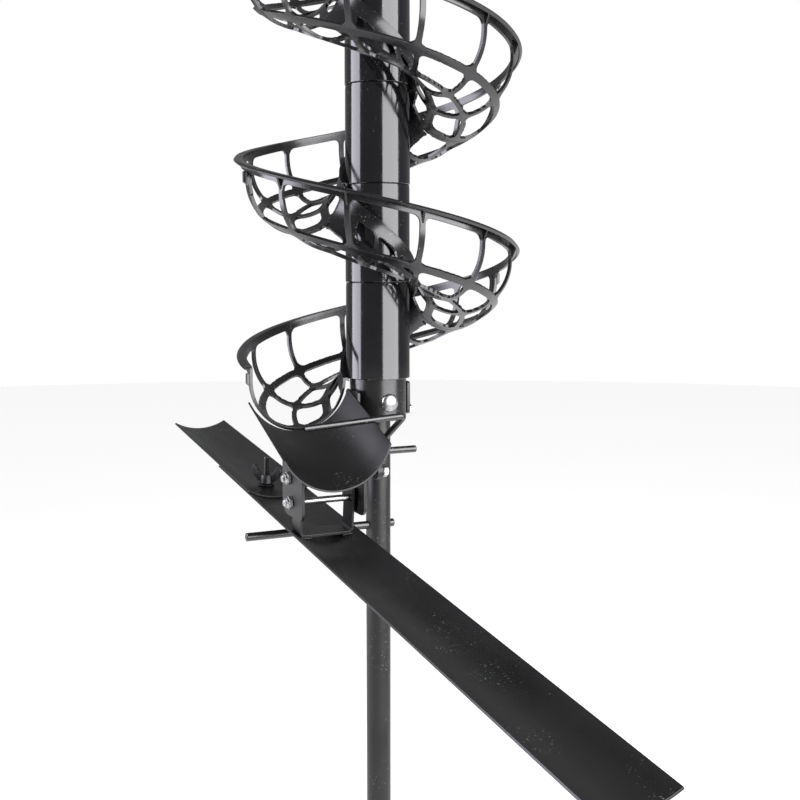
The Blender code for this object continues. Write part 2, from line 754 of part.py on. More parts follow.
def height_clamp():
    top = LOWER_TOP_Z + 0.006
    base = top - CLAMP_H
    ring = turned(
        "height_clamp", [
            (CLAMP_R, top), (CLAMP_R, base), (LOWER_R + CLEAR, base), (LOWER_R + CLEAR, LOWER_TOP_Z + CLEAR),
            (POLE_R + CLEAR, LOWER_TOP_Z + CLEAR), (POLE_R + CLEAR, top),
        ], cast(), steps=28,
    )
    knob_z = base + CLAMP_H * 0.45
    for body in (ring, bpy.data.objects["lower_tube"]):
        bore(body, (0.005, 0, knob_z), (0.05, 0, knob_z), 0.0040 + CLEAR)
    tip_x = POLE_R + CLEAR
    knob = turned(
        "clamp_knob", [
            (0.0, 0.048), (KNOB_R - 0.003, 0.048), (KNOB_R, 0.045), (KNOB_R, 0.034), (KNOB_R - 0.003, 0.031),
            (0.0080, 0.030), (0.0080, CLAMP_R - POLE_R), (0.0040, CLAMP_R - POLE_R), (0.0040, 0.0), (0.0, 0.0),
        ], nylon(), (tip_x, 0, knob_z), (1, 0, 0), 24,
    )
    for step in range(6):
        angle = math.radians(60 * step + 30)
        y, z = KNOB_R * 1.12 * math.cos(angle), KNOB_R * 1.12 * math.sin(angle) + knob_z
        bore(knob, (tip_x + 0.028, y, z), (tip_x + 0.055, y, z), 0.0055, 12)


track_modules()
side_bolt_z = mast()
trough()
ears(side_bolt_z)
stop_rod()
gate()
rail()
clevis()
counter_trough()
stand()
height_clamp()
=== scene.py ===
"""Looks of the gravity-fed pitching machine: moulded track, painted steel, zinc fasteners and the studio."""
import json
import math

import bmesh
import bpy
from mathutils import Matrix, Vector, noise


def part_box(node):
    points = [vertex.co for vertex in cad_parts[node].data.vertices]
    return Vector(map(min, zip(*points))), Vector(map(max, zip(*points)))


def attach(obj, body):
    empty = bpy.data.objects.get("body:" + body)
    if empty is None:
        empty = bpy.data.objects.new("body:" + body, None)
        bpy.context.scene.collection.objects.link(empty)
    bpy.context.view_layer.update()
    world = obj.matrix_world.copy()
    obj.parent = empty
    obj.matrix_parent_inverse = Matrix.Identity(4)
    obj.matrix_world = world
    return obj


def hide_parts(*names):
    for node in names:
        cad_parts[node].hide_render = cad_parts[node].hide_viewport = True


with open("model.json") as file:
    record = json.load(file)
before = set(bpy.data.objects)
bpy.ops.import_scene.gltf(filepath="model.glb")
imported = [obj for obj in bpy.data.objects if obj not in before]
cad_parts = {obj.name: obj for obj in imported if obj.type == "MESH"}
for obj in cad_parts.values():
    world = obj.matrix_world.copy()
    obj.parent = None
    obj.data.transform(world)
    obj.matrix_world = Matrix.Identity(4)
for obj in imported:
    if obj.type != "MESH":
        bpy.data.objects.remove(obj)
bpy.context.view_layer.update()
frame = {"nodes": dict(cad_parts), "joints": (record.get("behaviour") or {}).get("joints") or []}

MM = 0.001

# ---- places taken from the frame ------------------------------------------------------------
SUPPORT_LOW, SUPPORT_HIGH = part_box("support_tube")
SUPPORT_R = SUPPORT_HIGH.x
COLLAR_SHOWN = 37 * MM
TUBE_PROUD = 4 * MM
RACK_LOW = SUPPORT_LOW.z + COLLAR_SHOWN
RACK_HIGH = SUPPORT_HIGH.z - TUBE_PROUD
MODULES = 6
MODULE_H = (RACK_HIGH - RACK_LOW) / MODULES
GAP = 0.3 * MM


def centre_of(node):
    """The middle of a CAD node's box."""
    low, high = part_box(node)
    return (low + high) / 2


PIVOT = Vector((centre_of("clevis").x, centre_of("pivot_nut").y, centre_of("pivot_nut").z))
GATE = Vector((PIVOT.x, centre_of("gate_nut").y, centre_of("gate_nut").z))
SLIDE_AXIS = Vector(next(j["axis"] for j in frame["joints"] if j["name"] == "counter_slide"))
RAIL_SLOPE = math.atan2(SLIDE_AXIS.z, SLIDE_AXIS.y)
RAIL_FRAME = Matrix.Translation(PIVOT) @ Matrix.Rotation(RAIL_SLOPE, 4, "X")

# ---- track section, measured round the cup from the rim's edge ------------------------------
TRACK_R = 75.5 * MM
CUP_R = 43.0 * MM
RIM_RISE = 13.0 * MM
RIM_FLANGE = 6.4 * MM
TRACK_WALL = 2.8 * MM
ARC_LEN = math.pi * CUP_R
INNER_RISE = 0.5 * MM
SECTION_LEN = RIM_FLANGE + RIM_RISE + ARC_LEN + INNER_RISE
BAND_END = RIM_FLANGE + 6.2 * MM
INNER_BAND = 12.0 * MM
MIDDLE = RIM_FLANGE + RIM_RISE + ARC_LEN / 2
PITCH = math.radians(29.0)
POSTS = [math.radians(25.5) + PITCH * bay for bay in range(5)]
INNER_SCALE = 34.0 * MM
POST_LEAN = 0.125
POST_W = 4.6 * MM
RIB_W = 4.6 * MM
RAIL_DEG = 49.0
SIDE_RAIL_W = 7.0 * MM
END_W = 5.0 * MM
SLOT_AT = 4.2 * MM
SLOT_W = 2.6 * MM
SLOT_FROM = 14.0
SLOT_BRIDGE = 5.0
FILLET = 6.0 * MM
LIP_W = 1.6 * MM
WINDOW_RISE = 13.4 * MM
WINDOW_HALF_W = 4.8 * MM
WINDOW_HALF_H = 6.6 * MM
WINDOW_ROUND = 2.2 * MM
SHEET_COLUMNS, SHEET_ROWS = 200, 120
NEAREST_CUT = 0.02
SLIVER = 0.75 * MM


# ---- materials ------------------------------------------------------------------------------
class Finish:
    """A Principled material with helpers for its procedural detail."""

    def __init__(self, name, colour, metallic=0.0, roughness=0.5):
        self.material = bpy.data.materials.new(name)
        self.material.use_nodes = True
        self.nodes = self.material.node_tree.nodes
        self.links = self.material.node_tree.links
        self.shader = self.nodes["Principled BSDF"]
        self.shader.inputs["Metallic"].default_value = metallic
        self.shader.inputs["Roughness"].default_value = roughness
        self.shader.inputs["Base Color"].default_value = (*colour, 1.0)
        self.place = self.nodes.new("ShaderNodeTexCoord").outputs["Object"]

    def stretched(self, scale):
        """The place in the piece, scaled along each axis."""
        mapping = self.nodes.new("ShaderNodeMapping")
        mapping.inputs["Scale"].default_value = scale
        self.links.new(self.place, mapping.inputs["Vector"])
        return mapping.outputs["Vector"]

    def noise(self, scale, detail=4.0, rough=0.55, vector=None):
        """Soft noise from 0 to 1, finer as its scale grows."""
        made = self.nodes.new("ShaderNodeTexNoise")
        made.inputs["Scale"].default_value = scale
        made.inputs["Detail"].default_value = detail
        made.inputs["Roughness"].default_value = rough
        self.links.new(vector or self.place, made.inputs["Vector"])
        return made.outputs["Fac"]

    def spread(self, source, low, high, to_low, to_high):
        """Maps one range of a value onto another."""
        made = self.nodes.new("ShaderNodeMapRange")
        made.inputs["From Min"].default_value = low
        made.inputs["From Max"].default_value = high
        made.inputs["To Min"].default_value = to_low
        made.inputs["To Max"].default_value = to_high
        self.links.new(source, made.inputs["Value"])
        return made.outputs["Result"]

    def times(self, first, second):
        """One value times another."""
        made = self.nodes.new("ShaderNodeMath")
        made.operation = "MULTIPLY"
        self.links.new(first, made.inputs[0])
        self.links.new(second, made.inputs[1])
        return made.outputs[0]

    def mixed(self, factor, first, second):
        """From the first colour to the second, by a factor."""
        made = self.nodes.new("ShaderNodeMix")
        made.data_type = "RGBA"
        self.links.new(factor, made.inputs["Factor"])
        for socket, value in ((made.inputs["A"], first), (made.inputs["B"], second)):
            if isinstance(value, tuple):
                socket.default_value = (*value, 1.0)
            else:
                self.links.new(value, socket)
        return made.outputs["Result"]

    def clouded(self, scale, detail, dark, light):
        """Soft patches of two colours that are close to each other."""
        patches = self.spread(self.noise(scale, detail), 0.35, 0.65, 0.0, 1.0)
        return self.mixed(patches, dark, light)

    def colour(self, source):
        """Sets the colour of the surface."""
        self.links.new(source, self.shader.inputs["Base Color"])

    def roughness(self, source):
        """Sets the roughness of the surface."""
        self.links.new(source, self.shader.inputs["Roughness"])

    def bump(self, source, distance, strength=0.5):
        """Adds fine relief on top of any that is there."""
        made = self.nodes.new("ShaderNodeBump")
        made.inputs["Distance"].default_value = distance
        made.inputs["Strength"].default_value = strength
        self.links.new(source, made.inputs["Height"])
        before = self.shader.inputs["Normal"]
        if before.is_linked:
            self.links.new(before.links[0].from_socket, made.inputs["Normal"])
        self.links.new(made.outputs["Normal"], before)


def dust_specks(finish, amount):
    """Sparse pale flecks, as dust and rub marks leave on black."""
    flecks = finish.spread(finish.noise(520.0, 2.0), amount, amount + 0.03, 0.0, 1.0)
    patches = finish.spread(finish.noise(24.0, 2.0), 0.50, 0.62, 0.0, 0.55)
    return finish.times(flecks, patches)


def moulded_plastic():
    """Glossy black plastic of the tube segments."""
    made = Finish("gloss_black_plastic", (0.010, 0.010, 0.012), 0.0, 0.2)
    base = made.clouded(16.0, 3.0, (0.0020, 0.0020, 0.0024), (0.0036, 0.0036, 0.0042))
    made.colour(made.mixed(dust_specks(made, 0.68), base, (0.10, 0.12, 0.10)))
    made.roughness(made.spread(made.noise(42.0, 6.0, 0.65), 0.3, 0.7, 0.07, 0.17))
    made.bump(made.noise(60.0, 3.0), 0.00025, 0.12)
    made.bump(made.noise(900.0, 2.0), 0.00003, 0.25)
    return made.material


def moulded_track():
    """Duller black plastic of the ball basket."""
    made = Finish("satin_black_mouldings", (0.012, 0.012, 0.013), 0.0, 0.34)
    base = made.clouded(22.0, 3.0, (0.0022, 0.0022, 0.0025), (0.0045, 0.0044, 0.0048))
    made.colour(made.mixed(dust_specks(made, 0.66), base, (0.11, 0.13, 0.10)))
    made.roughness(made.spread(made.noise(55.0, 5.0, 0.6), 0.3, 0.7, 0.17, 0.31))
    made.bump(made.noise(120.0, 3.0), 0.00012, 0.25)
    made.bump(made.noise(1400.0, 2.0), 0.00004, 0.35)
    return made.material


def satin_paint(name="satin_black_paint", low=0.30, high=0.46, shine=0.40, grain=1.0):
    """Black powder paint: low and high bound its roughness, and grain scales its texture."""
    made = Finish(name, (0.013, 0.013, 0.014), 0.0, 0.38)
    made.shader.inputs["Specular IOR Level"].default_value = shine
    base = made.clouded(14.0, 4.0, (0.0026, 0.0026, 0.0027), (0.0052, 0.0050, 0.0051))
    streaks = made.noise(30.0, 5.0, 0.7, made.stretched((1.0, 0.16, 1.0)))
    made.colour(made.mixed(dust_specks(made, 0.655), base, (0.10, 0.13, 0.095)))
    made.roughness(made.spread(streaks, 0.3, 0.7, low, high))
    made.bump(made.noise(380.0, 3.0), 0.00006, 0.35 * grain)
    made.bump(made.noise(1600.0, 1.0), 0.00003, 0.3 * grain)
    return made.material


def bright_zinc():
    """Zinc plating with its fine grain."""
    made = Finish("bright_zinc", (0.2, 0.2, 0.2), 1.0, 0.28)
    made.colour(made.clouded(300.0, 4.0, (0.25, 0.255, 0.265), (0.44, 0.44, 0.43)))
    made.roughness(made.spread(made.noise(700.0, 4.0), 0.3, 0.7, 0.26, 0.42))
    made.bump(made.noise(1500.0, 3.0), 0.00004, 0.4)
    return made.material


def soft_rubber():
    """Matt rubber of the feet."""
    made = Finish("black_rubber", (0.02, 0.02, 0.02), 0.0, 0.8)
    made.colour(made.clouded(30.0, 4.0, (0.016, 0.016, 0.016), (0.030, 0.029, 0.028)))
    made.roughness(made.spread(made.noise(200.0, 4.0), 0.3, 0.7, 0.68, 0.88))
    made.bump(made.noise(900.0, 4.0), 0.0001, 0.5)
    return made.material


def black_nylon():
    """Nylon of the knob, wing nut and washers."""
    made = Finish("black_nylon", (0.016, 0.016, 0.017), 0.0, 0.4)
    made.colour(made.clouded(60.0, 3.0, (0.003, 0.003, 0.0032), (0.007, 0.007, 0.0072)))
    made.roughness(made.spread(made.noise(260.0, 4.0), 0.3, 0.7, 0.30, 0.50))
    made.bump(made.noise(1300.0, 3.0), 0.00005, 0.5)
    return made.material


def black_casting():
    """Rough painted castings of the stand."""
    made = Finish("black_casting", (0.02, 0.02, 0.021), 0.0, 0.55)
    made.colour(made.clouded(40.0, 4.0, (0.004, 0.004, 0.0042), (0.009, 0.009, 0.009)))
    made.roughness(made.spread(made.noise(120.0, 4.0), 0.3, 0.7, 0.45, 0.65))
    made.bump(made.noise(350.0, 4.0), 0.0003, 0.5)
    return made.material


LOOKS = {
    "gloss": (moulded_plastic(), "gloss_black_plastic"),
    "track": (moulded_track(), "gloss_black_plastic"),
    "paint": (satin_paint(), "satin_black_paint"),
    "rod": (satin_paint("gloss_black_rod", 0.20, 0.32, 0.62, 0.35), "satin_black_paint"),
    "collar": (satin_paint("gloss_black_collar", 0.20, 0.34, 0.42, 0.7), "satin_black_paint"),
    "zinc": (bright_zinc(), "bright_zinc"),
    "rubber": (soft_rubber(), "black_rubber"),
    "nylon": (black_nylon(), "black_nylon"),
    "cast": (black_casting(), "black_casting"),
}


# ---- making pieces --------------------------------------------------------------------------
M5_FLATS, M6_FLATS, M8_FLATS = 8 * MM, 10 * MM, 13 * MM
HEAD_CHAMFER_FROM, HEAD_CHAMFER_SLOPE = 0.47, 0.65


def piece(name, work, look, body, replaces=(), bevel=0.0, wall=0.0, sharp=35.0):
    """Turns a bmesh into a finished piece that rides on a body and stands for CAD nodes."""
    bmesh.ops.remove_doubles(work, verts=work.verts, dist=1e-6)
    bmesh.ops.recalc_face_normals(work, faces=work.faces)
    mesh = bpy.data.meshes.new(name)
    work.to_mesh(mesh)
    work.free()
    mesh.shade_smooth()
    mesh.set_sharp_from_angle(angle=math.radians(sharp))
    made = bpy.data.objects.new(name, mesh)
    bpy.context.scene.collection.objects.link(made)
    finish, slot = LOOKS[look]
    mesh.materials.append(finish)
    if wall:
        shell = made.modifiers.new("wall", "SOLIDIFY")
        shell.thickness = wall
        shell.offset = 0.0
    if bevel:
        edges = made.modifiers.new("edges", "BEVEL")
        edges.width = bevel
        edges.segments = 2
        edges.limit_method = "ANGLE"
        edges.angle_limit = math.radians(sharp)
        edges.harden_normals = True
    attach(made, body)
    if replaces:
        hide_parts(*replaces)
    return made


def aim(direction):
    """The turn that takes +Z to a direction."""
    return Vector(direction).to_track_quat("Z", "Y").to_matrix().to_4x4()


def spun(profile, start=(0, 0, 0), direction=(0, 0, 1), steps=72, work=None):
    """A closed (radius, height) outline turned about an axis, added to the bmesh."""
    made = bmesh.new()
    points = [made.verts.new((radius, 0.0, height)) for radius, height in profile]
    ring = [made.edges.new((points[i], points[(i + 1) % len(points)])) for i in range(len(points))]
    bmesh.ops.spin(
        made, geom=points + ring, cent=(0, 0, 0), axis=(0, 0, 1),
        angle=2 * math.pi, steps=steps, use_merge=True,
    )
    bmesh.ops.remove_doubles(made, verts=made.verts, dist=1e-7)
    flat = [f for f in made.faces if f.calc_area() < 1e-14]
    bmesh.ops.delete(made, geom=flat, context="FACES")
    bmesh.ops.recalc_face_normals(made, faces=made.faces)
    made.transform(Matrix.Translation(start) @ aim(direction))
    return merged(work, made)


def merged(work, extra):
    """Adds one bmesh to another."""
    if work is None:
        return extra
    holder = bpy.data.meshes.new("holder")
    extra.to_mesh(holder)
    extra.free()
    work.from_mesh(holder)
    bpy.data.meshes.remove(holder)
    return work


def chamfered(outer, inner, low, high, edge=0.6 * MM):
    """Outline of a tube wall with broken edges."""
    return [
        (outer, high - edge), (outer, low + edge), (outer - edge, low), (inner + edge, low),
        (inner, low + edge), (inner, high - edge), (inner + edge, high), (outer - edge, high),
    ]


def arc(centre, radius, first, last, steps):
    """Points along an arc, between two angles in degrees."""
    made = []
    for step in range(steps + 1):
        angle = math.radians(first + (last - first) * step / steps)
        made.append((centre[0] + radius * math.cos(angle), centre[1] + radius * math.sin(angle)))
    return made


def hexagon(across, height, start, direction):
    """A hexagonal head with its corners broken by a cone, as a forged head has."""
    made = bmesh.new()
    corner = across / math.sqrt(3)
    bmesh.ops.create_cone(made, cap_ends=True, segments=6, radius1=corner, radius2=corner, depth=height)
    bmesh.ops.translate(made, verts=made.verts, vec=(0, 0, height / 2))
    top = [f for f in made.faces if f.normal.z > 0.9]
    edges = list({e for f in top for e in f.edges})
    bmesh.ops.subdivide_edges(made, edges=edges, cuts=5, use_grid_fill=False)
    for vert in made.verts:
        if vert.co.z > height * 0.9:
            reach = vert.co.to_2d().length
            vert.co.z -= max(0.0, reach - across * HEAD_CHAMFER_FROM) * HEAD_CHAMFER_SLOPE
    made.transform(Matrix.Translation(start) @ aim(direction))
    return made


def threaded(radius, start, length, pitch=1.0 * MM):
    """Profile of a screw's ridged end, from its start to its chamfered tip."""
    points = []
    turns = int(length / pitch)
    for index in range(turns):
        z = start + index * pitch
        points += [(radius, z + pitch * 0.15), (radius, z + pitch * 0.35)]
        points.append((radius - 0.35 * MM, z + pitch * 0.75))
    points.append((radius - 0.6 * MM, start + length))
    return points


# ---- track modules --------------------------------------------------------------------------
def section_point(v):
    """(radius, height) of the cup's middle surface at a distance along it from the rim's edge."""
    outer, inner = TRACK_R + CUP_R, TRACK_R - CUP_R
    if v <= RIM_FLANGE:
        lip = max(0.0, 1.0 - v / LIP_W)
        return outer + RIM_FLANGE - v - 0.2 * MM * lip, -LIP_W * lip * lip
    v -= RIM_FLANGE
    if v <= RIM_RISE:
        return outer, -v
    v -= RIM_RISE
    if v <= ARC_LEN:
        turn = v / CUP_R
        return TRACK_R + CUP_R * math.cos(turn), -RIM_RISE - CUP_R * math.sin(turn)
    v -= ARC_LEN
    return inner, -RIM_RISE + v


def blended(first, second, reach):
    """Smooth minimum, which fillets the corner between two ribs."""
    share = max(reach - abs(first - second), 0.0) / reach
    return min(first, second) - share * share * reach * 0.25


def rib_distance(u, v):
    """How far a place on the cup lies outside the ribs: negative on a rib."""
    radius = section_point(v)[0]
    below = math.degrees((v - RIM_FLANGE - RIM_RISE) / CUP_R)
    lean = math.radians(POST_LEAN * min(max(below - RAIL_DEG, 0.0), 180.0 - 2 * RAIL_DEG))
    nearest_post = min(abs(u - lean - at) for at in POSTS) * radius
    post = nearest_post - (POST_W if v < MIDDLE else RIB_W) / 2
    outer_rail = abs(below - RAIL_DEG) * math.radians(1) * CUP_R - SIDE_RAIL_W / 2
    inner_rail = abs(below - 180.0 + RAIL_DEG) * math.radians(1) * CUP_R - SIDE_RAIL_W / 2
    centre_rib = abs(below - 90.0) * math.radians(1) * CUP_R - RIB_W / 2
    rim = v - BAND_END
    inner_band = SECTION_LEN - INNER_BAND - v
    if below > 180.0 - RAIL_DEG:
        along = min(abs(u - lean - at - PITCH / 2) for at in POSTS) * INNER_SCALE
        over = abs(below - 180.0 + RAIL_DEG) * math.radians(1) * CUP_R
        wide, tall = along - WINDOW_HALF_W, abs(over - WINDOW_RISE) - WINDOW_HALF_H
        return WINDOW_ROUND - math.hypot(max(wide, 0.0), max(tall, 0.0)) - min(max(wide, tall), 0.0)
    high_end, low_end = u * radius - END_W, (math.pi - u) * radius - END_W
    nearest = rim
    for rib in (outer_rail, centre_rib, inner_rail, inner_band, post, high_end, low_end):
        nearest = blended(nearest, rib, FILLET)
    slot_u = abs(u * radius - SLOT_AT) - SLOT_W / 2
    if slot_u < 0 and SLOT_FROM < below < 180.0 - SLOT_FROM and abs(below - 90.0) > SLOT_BRIDGE:
        nearest = max(nearest, -slot_u)
    return nearest


def clip_to_ribs(work, place):
    """Cuts the sheet along the ribs' edges and throws away what lies between them."""
    value = {vert: rib_distance(*place(vert)) for vert in work.verts}
    for edge in list(work.edges):
        a, b = edge.verts
        if (value[a] > 0) != (value[b] > 0):
            share = value[a] / (value[a] - value[b])
            share = min(max(share, NEAREST_CUT), 1.0 - NEAREST_CUT)
            _, made = bmesh.utils.edge_split(edge, a, share)
            value[made] = 0.0
    for face in list(work.faces):
        rim = [vert for vert in face.verts if value[vert] == 0.0]
        if len(rim) == 2:
            try:
                bmesh.utils.face_split(face, rim[0], rim[1])
            except ValueError:
                pass
        elif len(rim) == 4:
            bmesh.ops.connect_verts(work, verts=rim)
    gone = [f for f in work.faces if sum(value.get(v, 0.0) for v in f.verts) > 0]
    bmesh.ops.delete(work, geom=gone, context="FACES")


def on_track(u, radius, height):
    """A place given by its angle, its radius and its height over the rim's own drop."""
    drop = MODULE_H * (1.0 - u / math.pi) + RIM_RISE
    return Vector((radius * math.cos(u), radius * math.sin(u), height + drop))


def basket_sheet():
    """The open lattice of one module as a thin sheet, before it has a wall."""
    work = bmesh.new()
    bmesh.ops.create_grid(work, x_segments=SHEET_COLUMNS, y_segments=SHEET_ROWS, size=0.5)
    start = GAP / TRACK_R
    span = math.pi - 2 * start

    def place(vert):
        return start + (vert.co.x + 0.5) * span, (vert.co.y + 0.5) * SECTION_LEN

    clip_to_ribs(work, place)
    for vert in work.verts:
        u, v = place(vert)
        vert.co = on_track(u, *section_point(v))
    bmesh.ops.remove_doubles(work, verts=work.verts, dist=SLIVER)
    loose = [v for v in work.verts if not v.link_faces]
    bmesh.ops.delete(work, geom=loose, context="VERTS")
    return work


def wedge(work, corners, u, thickness):
    """A small flat gusset that stands out from the track at one angle."""
    made = bmesh.new()
    side = Vector((-math.sin(u), math.cos(u), 0)) * thickness / 2
    ring = [made.verts.new(on_track(u, r, z) - side) for r, z in corners]
    face = made.faces.new(ring)
    grown = bmesh.ops.extrude_face_region(made, geom=[face])
    moved = [item for item in grown["geom"] if isinstance(item, bmesh.types.BMVert)]
    bmesh.ops.translate(made, verts=moved, vec=side * 2)
    bmesh.ops.recalc_face_normals(made, faces=made.faces)
    return merged(work, made)


def track_trim():
    """Gussets under the rim, the inner web and the clips that lock one module to the next."""
    work = bmesh.new()
    outer = TRACK_R + CUP_R
    for u in POSTS:
        corners = [(outer + 1.0 * MM, -1.0 * MM), (outer + RIM_FLANGE - 0.8 * MM, -1.0 * MM)]
        corners += [(outer + RIM_FLANGE - 1.2 * MM, -2.6 * MM), (outer + 1.0 * MM, -12.5 * MM)]
        work = wedge(work, corners, u, 1.8 * MM)
    for u in (3.4 * MM / outer, math.pi - 3.4 * MM / outer):
        corners = [(outer + 0.8 * MM, -6.0 * MM), (outer + 3.6 * MM, -6.0 * MM)]
        corners += [(outer + 3.6 * MM, -15.0 * MM), (outer + 0.8 * MM, -17.0 * MM)]
        work = wedge(work, corners, u, 4.6 * MM)
    return inner_web(work)


def inner_web(work):
    """The web that ties the cup's inner wall to the tube."""
    made = bmesh.new()
    tube_r = SUPPORT_R + GAP + 1.6 * MM
    wall_r = TRACK_R - CUP_R
    steps = 48
    first, last = math.radians(34.0), math.radians(177.0)
    rings = []
    for step in range(steps + 1):
        u = first + (last - first) * step / steps
        corners = ((tube_r, -14.2 * MM), (wall_r, -12.8 * MM), (wall_r, -15.4 * MM), (tube_r, -17.6 * MM))
        rings.append([made.verts.new(on_track(u, r, z)) for r, z in corners])
    for low, high in zip(rings, rings[1:]):
        for i in range(4):
            j = (i + 1) % 4
            made.faces.new((low[i], high[i], high[j], low[j]))
    made.faces.new(rings[0])
    made.faces.new(rings[-1])
    bmesh.ops.recalc_face_normals(made, faces=made.faces)
    return merged(work, made)


def module_tube():
    """A moulded tube segment that narrows a little towards its upper rim."""
    outer = SUPPORT_R + GAP + 2.9 * MM
    inner = SUPPORT_R + GAP
    top = MODULE_H - GAP
    profile = [
        (outer - 0.55 * MM, top - 0.5 * MM), (outer - 0.30 * MM, top - 3.0 * MM), (outer, 12.0 * MM),
        (outer, 0.5 * MM), (outer - 0.5 * MM, 0.0), (inner, 0.0), (inner, top), (outer - 1.0 * MM, top),
    ]
    return spun(profile, steps=96)


def track_modules():
    """Each module is a tube segment, an open basket and its trim, half a turn on from the last."""
    shells = basket_sheet()
    sheet = bpy.data.meshes.new("sheet")
    shells.to_mesh(sheet)
    shells.free()
    trim = track_trim()
    trim_mesh = bpy.data.meshes.new("trim")
    trim.to_mesh(trim_mesh)
    trim.free()
    for index in range(MODULES):
        node = f"track_module_{index + 1}"
        half_turn = Matrix.Rotation(math.pi * (index % 2), 4, "Z")
        place = Matrix.Translation((0, 0, RACK_LOW + MODULE_H * index)) @ half_turn
        tube = module_tube()
        tube.transform(place)
        piece(f"{node}_tube", tube, "gloss", "mast", (node,), sharp=28.0)
        work = bmesh.new()
        work.from_mesh(sheet)
        work.transform(place)
        edge = 0.45 * MM
        piece(f"{node}_basket", work, "track", "mast", (node,), bevel=edge, wall=TRACK_WALL, sharp=50.0)
        work = bmesh.new()
        work.from_mesh(trim_mesh)
        work.transform(place)
        piece(f"{node}_trim", work, "track", "mast", (node,), bevel=0.3 * MM, sharp=30.0)


# ---- mast -----------------------------------------------------------------------------------
def tubes():
    """The steel tubes, each in the place of its CAD node. Walls are in millimetres."""
    for name, wall, look, body in (
        ("support_tube", 2.0, "collar", "mast"),
        ("pole", 2.0, "paint", "mast"),
        ("lower_tube", 4.5, "paint", "stand"),
    ):
        low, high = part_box(name)
        outer = high.x
        work = spun(chamfered(outer, outer - wall * MM, low.z, high.z, 0.4 * MM), steps=96)
        piece(f"{name}_skin", work, look, body, (name,), sharp=30.0)


def rack_cap():
    """A moulded cap whose plug goes into the support tube."""
    low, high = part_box("rack_cap")
    r = high.x
    z = RACK_HIGH
    rim = arc((r - 9 * MM, z + 7 * MM), 9 * MM, 85, 0, 10)
    over, plug = SUPPORT_R + 0.4 * MM, SUPPORT_R - 2.6 * MM
    profile = [(0.0, high.z), (r - 18 * MM, high.z - 0.2 * MM), *rim]
    profile += [(r, z + GAP + 0.6 * MM), (r - 0.6 * MM, z + GAP)]
    profile += [(over, z + GAP), (over, z + 5 * MM), (plug, z + 5 * MM)]
    profile += [(plug, low.z + 1 * MM), (plug - 1 * MM, low.z), (0.0, low.z)]
    piece("rack_cap_moulding", spun(profile), "gloss", "mast", ("rack_cap",), sharp=40.0)


def collar_fasteners():
    """The collar's carriage bolt and nut, and the two flat bars beside it."""
    z = centre_of("collar_nut").z
    front = -SUPPORT_R - GAP
    r = 8.0 * MM
    dome_h, shank = 4.2 * MM, 4.0 * MM
    angles = [i * math.pi / 20 for i in range(11)]
    dome = [(r * math.cos(a), -dome_h * math.sin(a)) for a in angles]
    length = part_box("collar_bolt")[1].y - front
    ridges = reversed(threaded(shank, length - 16 * MM, 15.6 * MM))
    profile = [(0.0, length), *ridges, (shank, 0.0), (r - 0.4 * MM, 0.0), *dome]
    work = spun(profile, (0, front, z), (0, 1, 0))
    piece("collar_bolt_domed", work, "zinc", "mast", ("collar_bolt",), sharp=40.0)
    nut("collar_nut", (0, 1, 0), M8_FLATS, 6.5 * MM, 4.3 * MM, "mast")
    low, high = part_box("side_pad")
    rounded_bar("side_pad_bar", low, high, "paint", "mast", ("side_pad",), 3.0 * MM)
    low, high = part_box("trough_bracket")
    rounded_bar("trough_bracket_plate", low, high, "paint", "mast", ("trough_bracket",), 3.0 * MM)


def rounded_bar(name, low, high, look, body, nodes, corner):
    """A flat bar across X with round corners."""
    made = bmesh.new()
    outline = arc((high.y - corner, high.z - corner), corner, 0, 90, 6)
    outline += arc((low.y + corner, high.z - corner), corner, 90, 180, 6)
    outline += arc((low.y + corner, low.z + corner), corner, 180, 270, 6)
    outline += arc((high.y - corner, low.z + corner), corner, 270, 360, 6)
    plate_from(made, outline, low.x, high.x)
    piece(name, made, look, body, nodes, bevel=0.5 * MM, sharp=40.0)


def plate_from(work, outline, x_low, x_high):
    """Adds a plate with a (y, z) outline between two places along X."""
    ring = [work.verts.new((x_low, y, z)) for y, z in outline]
    face = work.faces.new(ring)
    grown = bmesh.ops.extrude_face_region(work, geom=[face])
    moved = [item for item in grown["geom"] if isinstance(item, bmesh.types.BMVert)]
    bmesh.ops.translate(work, verts=moved, vec=(x_high - x_low, 0, 0))


def nut(node, direction, across, height, hole, body, nylock=False):
    """A hexagon nut, with a turned collar when it is a locking one."""
    middle = centre_of(node)
    axis = Vector(direction).normalized()
    start = middle - axis * height / 2
    hexed = height * (0.68 if nylock else 1.0)
    made = hexagon(across, hexed, start, axis)
    if nylock:
        collar = [(across * 0.42, height - 0.5 * MM), (across * 0.46, hexed * 0.9), (hole, hexed * 0.9)]
        collar += [(hole, height), (across * 0.40, height)]
        made = spun(collar, start, axis, 48, made)
    piece(f"{node}_hex", made, "zinc", body, (node,), bevel=0.25 * MM, sharp=30.0)


def hex_bolt(node, direction, across, head_h, radius, body, thread=12 * MM):
    """A hexagon bolt whose head is at the low end of its direction."""
    low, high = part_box(node)
    axis = Vector(direction).normalized()
    middle = (low + high) / 2
    reach = abs((high - low).dot(axis)) / 2
    head = middle - axis * reach
    seat = head + axis * head_h
    made = hexagon(across, head_h, seat, -axis)
    length = 2 * reach - head_h
    ridges = reversed(threaded(radius, length - thread, thread))
    profile = [(0.0, length), *ridges, (radius, -0.5 * MM), (0.0, -0.5 * MM)]
    made = spun(profile, seat, axis, 40, made)
    piece(f"{node}_hex", made, "zinc", body, (node,), sharp=30.0)


